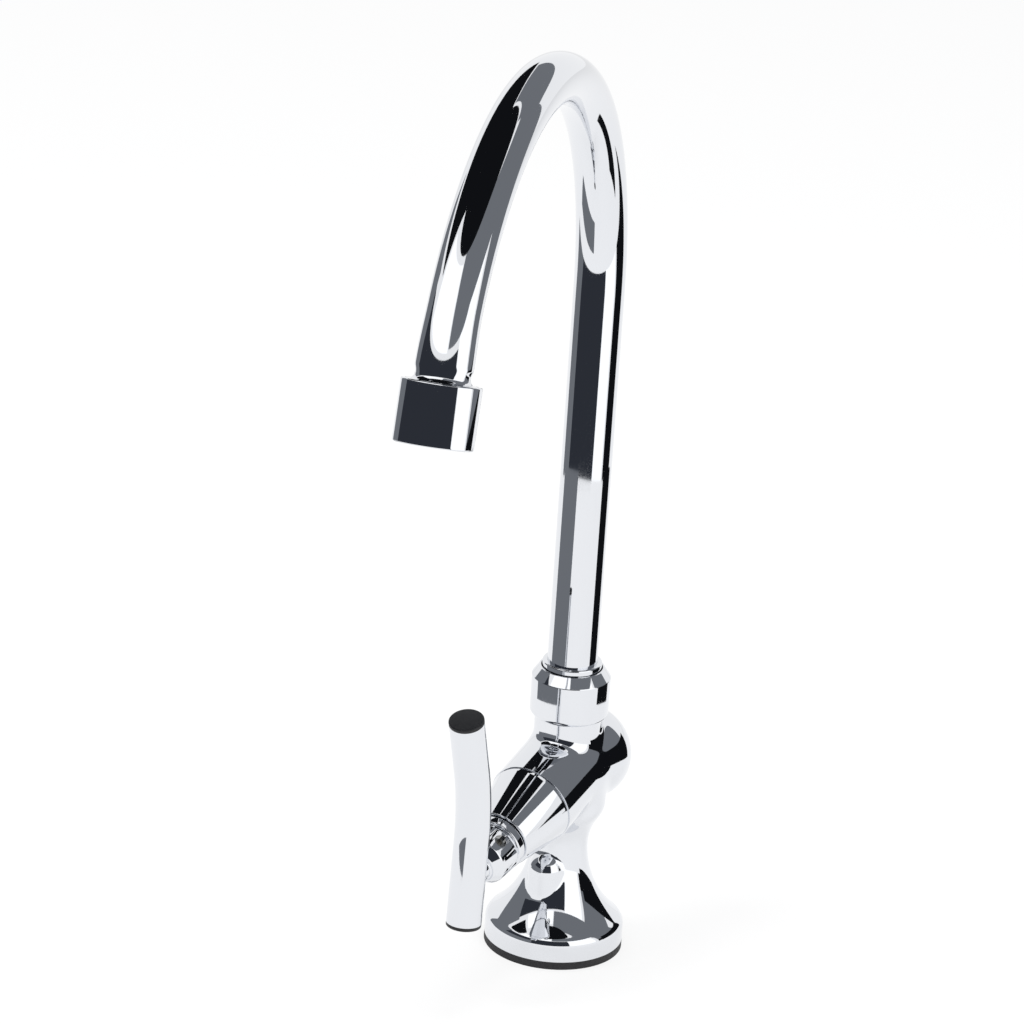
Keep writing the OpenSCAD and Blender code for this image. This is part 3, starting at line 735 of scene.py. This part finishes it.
class FAUCET_OT_cast_body(bpy.types.Operator):
    """Makes the casting: foot, waist, valve barrel, round back, front boss and socket"""
    bl_idname = "faucet.cast_body"
    bl_label = "Cast body"

    def execute(self, context):
        s, _, _ = settings()
        barrel = on_barrel(s)
        body = turned("cast_body", casting_side(s), steps=96)
        parts = [drum(s.barrel_r, -s.barrel_back, s.barrel_front + OVERRUN, barrel),
                 drum(s.boss_r, s.boss_foot_z, s.boss_dome_z, shift(0, -s.boss_reach, 0)),
                 ball(s.barrel_r, barrel @ Vector((0, 0, -s.barrel_back * MM))),
                 ball(s.ball_r, Vector((0, s.ball_back, s.ball_z)) * MM),
                 ball(s.boss_r, Vector((0, -s.boss_reach, s.boss_dome_z)) * MM)]
        only(body)
        for part in parts:
            part.select_set(True)
        bpy.ops.object.join()
        skin = body.modifiers.new("skin", "REMESH")
        skin.mode, skin.voxel_size, skin.adaptivity = "VOXEL", SKIN_VOXEL * MM, 0
        apply_all(body)
        settle(body, casting_distance(s))
        cut(body, drum(2 * s.foot_r, s.foot_z - CUTTER_REACH, s.foot_z))
        cut(body, drum(2 * s.barrel_r, s.barrel_front, s.barrel_front + CUTTER_REACH, barrel))
        cut(body, drum(3 * s.socket_r, s.socket_z, s.socket_z + CUTTER_REACH))
        cut(body, drum(s.inlet_r + s.thread_depth, -CUTTER_REACH, s.inlet_depth))
        cut(body, drum(s.waterway_r, 0, s.waist_z))
        seal(body)
        smooth(body, 32)
        return finish_piece(body, "body", "chrome", "faucet_body")


class FAUCET_OT_inlet_thread(bpy.types.Operator):
    """Turns the centring boss under the foot, with the rings of a pipe thread inside it"""
    bl_idname = "faucet.inlet_thread"
    bl_label = "Inlet thread"

    def execute(self, context):
        s, _, _ = settings()
        crest_start, crest_end, wall, lap, chamfer = 0.7, 1.1, 0.04, 0.3, 0.4
        root_r, boss_r, top = s.inlet_r + s.thread_depth, s.inlet_boss_r, s.foot_z + lap
        turns = [(root_r, 0.0)]
        for i in range(int(s.inlet_depth / s.thread_pitch)):
            z = i * s.thread_pitch
            turns += [(s.inlet_r, z + crest_start), (s.inlet_r, z + crest_end), (root_r, z + s.thread_pitch)]
        turns[-1] = (root_r, s.inlet_depth)
        line = [(boss_r - chamfer, 0), (boss_r, chamfer), (boss_r, top), (root_r + wall, top),
                (root_r + wall, s.inlet_depth)]
        obj = turned("inlet_thread", line + turns[::-1], steps=96, degrees=30, closed=True)
        return finish_piece(obj, "body", "brass")


# ---------------------------------------------------------------- valve and lever
class FAUCET_OT_bonnet_cone(bpy.types.Operator):
    """Turns the cone-shaped bonnet, with a soft edge at each end"""
    bl_idname = "faucet.bonnet_cone"
    bl_label = "Bonnet cone"

    def execute(self, context):
        s, v, _ = settings()
        foot, end = s.barrel_front + 2 * SPARE, s.barrel_front + v.bonnet_l
        skirt_r, skirt_end = v.bonnet_skirt_r, s.barrel_front + v.bonnet_skirt_l
        cavity_r, cavity_end = v.bonnet_cavity_r, end - v.bonnet_end_t
        line = [(skirt_r, foot), (v.bonnet_r - 0.05, foot, 0.35), (v.bonnet_r - 0.2, foot + 1.2, 0.6),
                (v.bonnet_end_r, end, 0.5), (v.stem_hole_r, end, 0.3), (v.stem_hole_r, cavity_end),
                (cavity_r, cavity_end), (cavity_r, skirt_end), (skirt_r, skirt_end)]
        obj = turned("bonnet_cone", rounded(line), matrix=on_barrel(s), closed=True)
        return finish_piece(obj, "body", "chrome", "bonnet")


class FAUCET_OT_lever_hub(bpy.types.Operator):
    """Turns the lever's hub, cuts its flutes, the small screw's hole and the lever's seat"""
    bl_idname = "faucet.lever_hub"
    bl_label = "Lever hub"

    def execute(self, context):
        s, v, _ = settings()
        foot = s.barrel_front + v.bonnet_l + v.hub_gap
        collar_end, fluted_at = v.hub_collar_l, v.hub_collar_l + v.hub_neck_l
        r, groove_r, end_r = v.hub_r, v.hub_r - v.hub_neck_in, v.hub_r - 3.2
        bore_r, neck_r, neck_end = v.hub_bore_r, v.lever_r - 0.6, v.lever_station - foot
        line = [(bore_r, 0.0), (r, 0.0, 0.5), (r, collar_end, 0.5), (groove_r, collar_end + 0.25, 0.1),
                (groove_r, fluted_at - 0.1, 0.1), (r - 0.2, fluted_at + 0.1, 0.5),
                (groove_r, v.hub_l, 1.0), (end_r, v.hub_l + 2.6, 1.0), (neck_r, v.hub_l + 2.8, 0.6),
                (neck_r, neck_end), (bore_r, neck_end)]
        at_hub = on_barrel(s) @ shift(0, 0, foot)
        obj = turned("lever_hub", rounded(line, steps=5), 144, at_hub, closed=True)
        for i in range(v.flutes):
            flute = turn_z((i + 0.5) * 360 / v.flutes) @ shift(r + v.flute_out, 0, fluted_at)
            cut(obj, drum(v.flute_r, 0, v.hub_l, at_hub @ flute, sides=24))
        screw = shift(0, 0, v.grub_at) @ turn_z(v.grub_turn) @ Matrix.Rotation(math.radians(90), 4, "Y")
        cut(obj, drum(v.grub_r, 0, 2 * r, at_hub @ screw, sides=32))
        seat_r = v.lever_r - 2 * SPARE
        cut(obj, drum(seat_r, -v.lever_below, v.lever_straight, on_lever(s, v), sides=96))
        seal(obj)
        smooth(obj, 30)
        return finish_piece(obj, "handle", "chrome", "handle_hub")


class FAUCET_OT_bent_lever(bpy.types.Operator):
    """Sweeps the lever's tube along its straight part, its bend and its upper end"""
    bl_idname = "faucet.bent_lever"
    bl_label = "Bent lever"

    def execute(self, context):
        s, v, _ = settings()
        legs = [(v.lever_below + v.lever_straight,), (v.lever_bend_r, v.lever_kick, 40), (v.lever_upper,)]
        obj = swept("bent_lever", v.lever_r, v.lever_wall, legs)
        place(obj, on_lever(s, v) @ shift(0, 0, -v.lever_below))
        smooth(obj, 40)
        return finish_piece(obj, "handle", "chrome", "handle_lever")


class FAUCET_OT_lever_caps(bpy.types.Operator):
    """Turns the black plugs in both ends of the lever, with a soft edge"""
    bl_idname = "faucet.lever_caps"
    bl_label = "Lever caps"

    def execute(self, context):
        s, v, _ = settings()
        r, shank_r, shank_l = v.lever_r, v.lever_r - v.lever_wall - SEAT_GAP, v.plug_shank_l
        line = [(0, v.plug_t), (r, v.plug_t, 0.5), (r, 0, 0.1), (shank_r, 0), (shank_r, -shank_l),
                (0, -shank_l)]
        foot = on_lever(s, v) @ shift(0, 0, -v.lever_below) @ turn_x(180)
        for name, matrix, node in (("lever_cap_top", at_lever_top(s, v), "lever_top_plug"),
                                   ("lever_cap_foot", foot, "lever_foot_plug")):
            finish_piece(turned(name, rounded(line), 96, matrix), "handle", "black_plastic", node)
        return {"FINISHED"}


# ---------------------------------------------------------------- spout
class FAUCET_OT_coupling_nut(bpy.types.Operator):
    """Turns the nut at the foot of the spout, with its round foot and cone-shaped shoulder"""
    bl_idname = "faucet.coupling_nut"
    bl_label = "Coupling nut"

    def execute(self, context):
        _, _, p = settings()
        foot, top, hole_r = p.nut_z + SPARE, p.nut_top_z, p.collar_r + p.nut_gap
        line = [(p.nut_bore_r, foot), (p.nut_r, foot, 2.0), (p.nut_r, top - p.shoulder_h, 0.6),
                (hole_r + 0.5, top, 0.25), (hole_r, top), (hole_r, p.nut_lip_z), (p.nut_bore_r, p.nut_lip_z)]
        obj = turned("coupling_nut", rounded(line, steps=9), closed=True)
        return finish_piece(obj, "body", "chrome", "spout_nut")


RING_LEVELS = (2.6, 6.6)  # millimetres from the plug's foot to the middle of each ring groove


class FAUCET_OT_riser_collar(bpy.types.Operator):
    """Turns the collar that holds the tube: plug with two ring grooves, flange and neck"""
    bl_idname = "faucet.riser_collar"
    bl_label = "Riser collar"

    def execute(self, context):
        _, _, p = settings()
        foot, plug_r, bore_r = p.collar_foot_z, p.collar_plug_r, p.tube_r + 2 * SPARE
        flange_r, flange_z = p.collar_flange_r, p.collar_flange_z
        flange_end, groove_r = flange_z + p.collar_flange_t, plug_r - p.groove_depth
        line = [(p.collar_way_r, foot), (plug_r, foot, 0.3)]
        for level in RING_LEVELS:
            low, high = foot + level - p.groove_w / 2, foot + level + p.groove_w / 2
            line += [(plug_r, low), (groove_r, low), (groove_r, high), (plug_r, high)]
        line += [(plug_r, flange_z), (flange_r, flange_z), (flange_r, flange_end), (p.collar_r, flange_end),
                 (p.collar_r, p.collar_top_z, 0.6), (bore_r, p.collar_top_z), (bore_r, p.tube_foot_z),
                 (p.collar_way_r, p.tube_foot_z)]
        obj = turned("riser_collar", rounded(line), closed=True)
        return finish_piece(obj, "spout", "chrome", "spout_collar")


FINE_BEND = 18.0  # the last degrees of the bend, swept in finer steps for the swell and the neck
SWELL_END, NECK_AT = 4.4, 2.1  # millimetres above the aerator's top


def ease(t):
    t = min(max(t, 0.0), 1.0)
    return t * t * (3 - 2 * t)


def tube_radius_near_outlet(p, above):
    """The tube's radius at a distance above the aerator: it swells slowly, then draws in to a neck."""
    if above > SWELL_END:
        return p.swell_r + (p.tube_r - p.swell_r) * ease((above - SWELL_END) / (p.swell_l - SWELL_END))
    if above > NECK_AT:
        return p.neck_r + (p.swell_r - p.neck_r) * ease((above - NECK_AT) / (SWELL_END - NECK_AT))
    return p.neck_r + (p.tube_r - p.neck_r) * ease(1 - above / NECK_AT)


def shape_tube_end(obj, p, riser):
    """Moves the vertices near the bend's end outwards or inwards about the bend's centreline."""
    for vertex in obj.data.vertices:
        x, y, z = (c / MM for c in vertex.co)
        turned_by = math.atan2(z - riser, y + p.bend_r)
        above = (math.radians(p.bend_angle) - turned_by) * p.bend_r
        if z < riser or not 0 <= above <= p.swell_l:
            continue
        scale = tube_radius_near_outlet(p, above) / p.tube_r
        middle = Vector((0, p.bend_r * (math.cos(turned_by) - 1), riser + p.bend_r * math.sin(turned_by)))
        vertex.co = (middle + (Vector((x, y, z)) - middle) * scale) * MM
    obj.data.update()


class FAUCET_OT_gooseneck_tube(bpy.types.Operator):
    """Sweeps the gooseneck up the riser and round its bend, and shapes its swollen end"""
    bl_idname = "faucet.gooseneck_tube"
    bl_label = "Gooseneck tube"

    def execute(self, context):
        _, _, p = settings()
        riser = p.bend_z - p.tube_foot_z
        bend_steps, fine_steps = 135, 70
        legs = [(riser,), (p.bend_r, p.bend_angle - FINE_BEND, bend_steps),
                (p.bend_r, FINE_BEND, fine_steps), (p.tube_stub,)]
        obj = swept("gooseneck_tube", p.tube_r, p.tube_wall, legs, sides=112)
        shape_tube_end(obj, p, riser)
        place(obj, on_spout(p) @ shift(0, 0, p.tube_foot_z))
        smooth(obj, 40)
        return finish_piece(obj, "spout", "chrome", "spout_tube")


class FAUCET_OT_outlet_neck(bpy.types.Operator):
    """Turns the ferrule on the tube's end, with the sweep that flares to the aerator"""
    bl_idname = "faucet.outlet_neck"
    bl_label = "Outlet neck"

    def execute(self, context):
        _, _, p = settings()
        thread_r, way_r = p.aerator_r - p.aerator_wall - SEAT_GAP, p.tube_r - p.tube_wall
        bore_r, sweep = p.tube_r + 2 * SPARE, p.sweep_r
        line = arc_points((bore_r + sweep, -sweep), sweep, 180, 90, 12)
        line += [(thread_r, 0.0), (thread_r, p.ferrule_l), (way_r, p.ferrule_l), (way_r, p.tube_stub),
                 (bore_r, p.tube_stub)]
        obj = turned("outlet_neck", line, matrix=at_outlet(p), closed=True)
        return finish_piece(obj, "spout", "chrome", "outlet_ferrule")


class FAUCET_OT_aerator_shell(bpy.types.Operator):
    """Turns the aerator's housing, with soft edges and a lip round the outlet"""
    bl_idname = "faucet.aerator_shell"
    bl_label = "Aerator shell"

    def execute(self, context):
        _, _, p = settings()
        r, end, lip = p.aerator_r, p.aerator_l, p.aerator_lip
        bore = r - p.aerator_wall
        line = [(bore, 0.0), (r, 0.0, 0.5), (r, end, 0.6), (bore - lip, end, 0.3), (bore - lip, end - lip),
                (bore, end - lip)]
        obj = turned("aerator_shell", rounded(line), matrix=at_outlet(p), closed=True)
        return finish_piece(obj, "spout", "chrome", "aerator_housing")


# ---------------------------------------------------------------- pieces kept as the frame has them
CAD_FINISH = {
    "base_gasket": "black_rubber", "seat_seal": "black_rubber", "fixed_disc": "white_ceramic",
    "cartridge_housing": "brass", "housing_o_ring": "black_rubber", "swivel_washer": "nylon",
    "moving_disc": "white_ceramic", "valve_stem": "brass", "thrust_washer": "nylon",
    "stem_o_ring": "black_rubber", "stem_clip": "stainless", "hub_grub_screw": "stainless",
    "spout_o_rings": "black_rubber", "aerator_washer": "black_rubber", "aerator_screens": "stainless",
    "aerator_insert": "pale_plastic",
}


class FAUCET_OT_inner_parts(bpy.types.Operator):
    """Gives the seals, valve parts and aerator parts of the frame their finishes"""
    bl_idname = "faucet.inner_parts"
    bl_label = "Inner parts"

    def execute(self, context):
        for node, slot in CAD_FINISH.items():
            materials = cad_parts[node].data.materials
            materials.clear()
            materials.append(finish(slot))
        return {"FINISHED"}


# ---------------------------------------------------------------- white room, floor and cards of painted reflection
# Painted reflections: plain glowing cards, set like a photographer's flags and softboxes for chrome, that
# only mirrors see. They light nothing and cast no shadow, so the white ones are painted highlights and the
# rest are painted dark and grey bands.
# Azimuth 0 is in front of the faucet, 90 on its +X side.
PAINTED_REFLECTION_SHADES = {"black": "#121316", "charcoal": "#30333a", "grey": "#74777c", "white": "#ffffff"}
# the white cards glow past white, as painted highlights in the chrome
PAINTED_HIGHLIGHT_GLOW = 1.3
CARD_DISTANCE = 0.42
CARD_STEPS = 24
STRIP_DISTANCE = 0.2
# name: azimuths (degrees), heights (m), distance from the riser's axis (m), shade
CARDS = {
    "front_strip": ((-80, -5), (0.0, 0.09), STRIP_DISTANCE, "grey"),
    "back_strip": ((112, 160), (0.0, 0.09), STRIP_DISTANCE, "black"),
    "front_flag": ((-58, 55), (0.0, 0.37), CARD_DISTANCE, "charcoal"),
    "front_softbox": ((-39, 25), (0.39, 0.66), CARD_DISTANCE, "white"),
    "right_softbox": ((56, 100), (0.0, 0.40), CARD_DISTANCE, "white"),
    "right_flag": ((27, 106), (0.40, 0.90), CARD_DISTANCE, "grey"),
    "back_right_foot": ((106, 150), (0.0, 0.11), CARD_DISTANCE, "black"),
    "back_right_flag": ((106, 150), (0.11, 0.90), CARD_DISTANCE, "grey"),
    "back_flag": ((150, 212), (0.50, 1.0), CARD_DISTANCE, "grey"),
    "left_flag": ((-146, -44), (0.45, 1.2), CARD_DISTANCE, "black"),
    "left_foot": ((-96, -58), (0.0, 0.40), CARD_DISTANCE, "grey"),
}
OVERHEAD_PLACE = (0.03, -0.13, 0.62)
OVERHEAD_RADIUS = 0.23
OVERHEAD_SIDES = 96
FLOOR_SIZE = 8.0
FLOOR_GLOW = 0.9  # the floor's own white, as the camera and mirrors see it
FLOOR_GLOW_SHARE = 0.85  # the rest is the lit paper, which keeps the shadow
ROOM_SHADE, ROOM_LIGHT = "#f2f2f4", 0.8  # what the room sends on to matt surfaces
WHITE = (1.0, 1.0, 1.0, 1.0)


def seen_directly(tree):
    """1 for what the camera, a mirror or a clear part shows, and 0 for light on a matt surface."""
    path = add(tree, "ShaderNodeLightPath").outputs
    either = add(tree, "ShaderNodeMath", {"operation": "MAXIMUM"},
                 {0: path["Is Camera Ray"], 1: path["Is Glossy Ray"]})
    return add(tree, "ShaderNodeMath", {"operation": "MAXIMUM"},
               {0: either.outputs[0], 1: path["Is Transmission Ray"]}).outputs[0]


def make_world():
    """One white room for the camera, mirrors and clear parts, and plain light grey on matt surfaces."""
    world = bpy.data.worlds.new("white studio")
    bpy.context.scene.world = world
    tree = new_tree(world)
    dull = add(tree, "ShaderNodeBackground", {"Color": srgb(ROOM_SHADE), "Strength": ROOM_LIGHT})
    white = add(tree, "ShaderNodeBackground", {"Color": WHITE, "Strength": 1.0})
    room = add(tree, "ShaderNodeMixShader",
               links={0: seen_directly(tree), 1: dull.outputs[0], 2: white.outputs[0]})
    add(tree, "ShaderNodeOutputWorld", links={"Surface": room.outputs[0]})


def make_floor(paper_colour):
    """Plain paper, almost white to the camera and to mirrors alike, that keeps the faucet's shadow."""
    deselect()
    bpy.ops.mesh.primitive_plane_add(size=FLOOR_SIZE)
    floor = bpy.context.object
    floor.name = "floor"
    mat = bpy.data.materials.new("studio_paper")
    tree = new_tree(mat)
    paper = add(tree, "ShaderNodeBsdfDiffuse", {"Color": (*paper_colour, 1.0)})
    white = add(tree, "ShaderNodeEmission", {"Color": WHITE, "Strength": FLOOR_GLOW})
    share = add(tree, "ShaderNodeMath", {"operation": "MULTIPLY", 1: FLOOR_GLOW_SHARE},
                {0: seen_directly(tree)})
    mixed = add(tree, "ShaderNodeMixShader",
                links={0: share.outputs[0], 1: paper.outputs[0], 2: white.outputs[0]})
    add(tree, "ShaderNodeOutputMaterial", links={"Surface": mixed.outputs[0]})
    floor.data.materials.append(mat)


def set_card(card, name, shade):
    """Names a card, gives it one plain glowing shade as a painted reflection, and shows it to mirrors alone.
    """
    card.name = name
    for kind in ("camera", "diffuse", "shadow", "transmission", "volume_scatter"):
        setattr(card, f"visible_{kind}", False)
    mat = bpy.data.materials.get(f"{shade}_card")
    if mat is None:
        mat = bpy.data.materials.new(f"{shade}_card")
        tree = new_tree(mat)
        # painted reflection: white cards glow as painted highlights, the others as painted dark or grey bands
        glow = PAINTED_HIGHLIGHT_GLOW if shade == "white" else 1.0
        painted_reflection_glow = add(tree, "ShaderNodeEmission", {"Color": srgb(PAINTED_REFLECTION_SHADES[shade]), "Strength": glow})
        add(tree, "ShaderNodeOutputMaterial", links={"Surface": painted_reflection_glow.outputs[0]})
    card.data.materials.append(mat)


def make_cards():
    """Painted reflections: curved glowing cards that stand round the faucet, and a round black one over it,
    seen only in mirrors.
    """
    for name, (azimuths, heights, distance, shade) in CARDS.items():
        deselect()
        bpy.ops.mesh.primitive_grid_add(x_subdivisions=CARD_STEPS, y_subdivisions=1, size=1)
        card = bpy.context.object
        for corner in card.data.vertices:
            azimuth = math.radians(azimuths[0] + (corner.co.x + 0.5) * (azimuths[1] - azimuths[0]))
            height = heights[0] + (corner.co.y + 0.5) * (heights[1] - heights[0])
            corner.co = (distance * math.sin(azimuth), -distance * math.cos(azimuth), height)
        set_card(card, name, shade)
    deselect()
    bpy.ops.mesh.primitive_circle_add(vertices=OVERHEAD_SIDES, radius=OVERHEAD_RADIUS, fill_type="NGON",
                                      location=OVERHEAD_PLACE)
    set_card(bpy.context.object, "overhead_flag", "black")


# ---------------------------------------------------------------- lamps and camera
# name: place (m), side (m), the setting that holds its power
LAMPS = {
    "key_lamp": ((-0.9, -1.1, 1.6), 0.8, "key_power"),
    "fill_lamp": ((1.4, -0.9, 0.9), 0.9, "fill_power"),
    "top_lamp": ((0.1, 0.5, 1.9), 1.0, "top_power"),
}
LAMP_AIM = (0, -0.03, 0.12)
SENSOR_MM = 36.0
NEAREST_SEEN, FARTHEST_SEEN = 0.05, 50.0  # metres


def lamp(name, where, size, watts):
    """A square area lamp that mirrors don't show."""
    data = bpy.data.lights.new(name, "AREA")
    data.size, data.energy = size, watts
    obj = bpy.data.objects.new(name, data)
    bpy.context.scene.collection.objects.link(obj)
    obj.location = where
    obj.rotation_euler = (Vector(where) - Vector(LAMP_AIM)).to_track_quat("Z", "Y").to_euler()
    obj.visible_glossy = False


def turn_towards(first, second, degrees):
    """Two directions at right angles, turned together from the first towards the second."""
    c, s = math.cos(math.radians(degrees)), math.sin(math.radians(degrees))
    return first * c + second * s, second * c - first * s


def make_camera(s):
    around = math.radians(s.camera_around)
    ahead = Vector((-math.sin(around), math.cos(around), 0))
    right = Vector((math.cos(around), math.sin(around), 0))
    ahead, right = turn_towards(ahead, right, s.camera_yaw)
    ahead, up = turn_towards(ahead, Vector((0, 0, 1)), -s.camera_pitch)
    right, up = turn_towards(right, up, s.camera_roll)
    data = bpy.data.cameras.new("camera")
    data.sensor_width, data.lens = SENSOR_MM, s.camera_lens
    data.clip_start, data.clip_end = NEAREST_SEEN, FARTHEST_SEEN
    camera = bpy.data.objects.new("camera", data)
    bpy.context.scene.collection.objects.link(camera)
    where = shift(s.camera_away * math.sin(around), -s.camera_away * math.cos(around), s.camera_height)
    camera.matrix_world = where @ Matrix((right, up, -ahead)).transposed().to_4x4()
    bpy.context.scene.camera = camera


class FAUCET_OT_studio(bpy.types.Operator):
    """Makes the paper floor, the white room, the cards of painted reflection, the lamps and the camera"""
    bl_idname = "faucet.studio"
    bl_label = "Studio"

    def execute(self, context):
        s = plain(context.scene.faucet_studio)
        context.scene.view_settings.view_transform = "Standard"
        make_floor(tuple(s.paper))
        make_cards()
        make_world()
        for name, (where, side, watts) in LAMPS.items():
            lamp(name, where, side, getattr(s, watts))
        make_camera(s)
        return {"FINISHED"}


# ---------------------------------------------------------------- add-on
GROUPS = {
    "faucet_body": CastBodySizes,
    "faucet_valve": ValveSizes,
    "faucet_spout": SpoutSizes,
    "faucet_finish": FinishColours,
    "faucet_studio": StudioSettings,
}
OPERATORS = (
    FAUCET_OT_studio, FAUCET_OT_inner_parts, FAUCET_OT_cast_body, FAUCET_OT_inlet_thread,
    FAUCET_OT_bonnet_cone, FAUCET_OT_coupling_nut, FAUCET_OT_riser_collar, FAUCET_OT_gooseneck_tube,
    FAUCET_OT_outlet_neck, FAUCET_OT_aerator_shell, FAUCET_OT_lever_hub, FAUCET_OT_bent_lever,
    FAUCET_OT_lever_caps,
)


class FAUCET_PT_pieces(bpy.types.Panel):
    """Lists the faucet's pieces and their settings"""
    bl_idname = "FAUCET_PT_pieces"
    bl_label = "Gooseneck bar faucet"
    bl_space_type = "VIEW_3D"
    bl_region_type = "UI"
    bl_category = "Faucet"

    def draw(self, context):
        for operator in OPERATORS:
            self.layout.operator(operator.bl_idname)
        for attribute, group in GROUPS.items():
            box = self.layout.box()
            for key in group.__annotations__:
                box.prop(getattr(context.scene, attribute), key)


CLASSES = (*GROUPS.values(), *OPERATORS, FAUCET_PT_pieces)


def register():
    for cls in CLASSES:
        bpy.utils.register_class(cls)
    for attribute, group in GROUPS.items():
        setattr(bpy.types.Scene, attribute, PointerProperty(type=group))


def unregister():
    for attribute in GROUPS:
        delattr(bpy.types.Scene, attribute)
    for cls in reversed(CLASSES):
        bpy.utils.unregister_class(cls)


def main():
    register()
    for operator in OPERATORS:
        getattr(bpy.ops.faucet, operator.bl_idname.split(".")[1])()


if __name__ == "__main__":
    main()
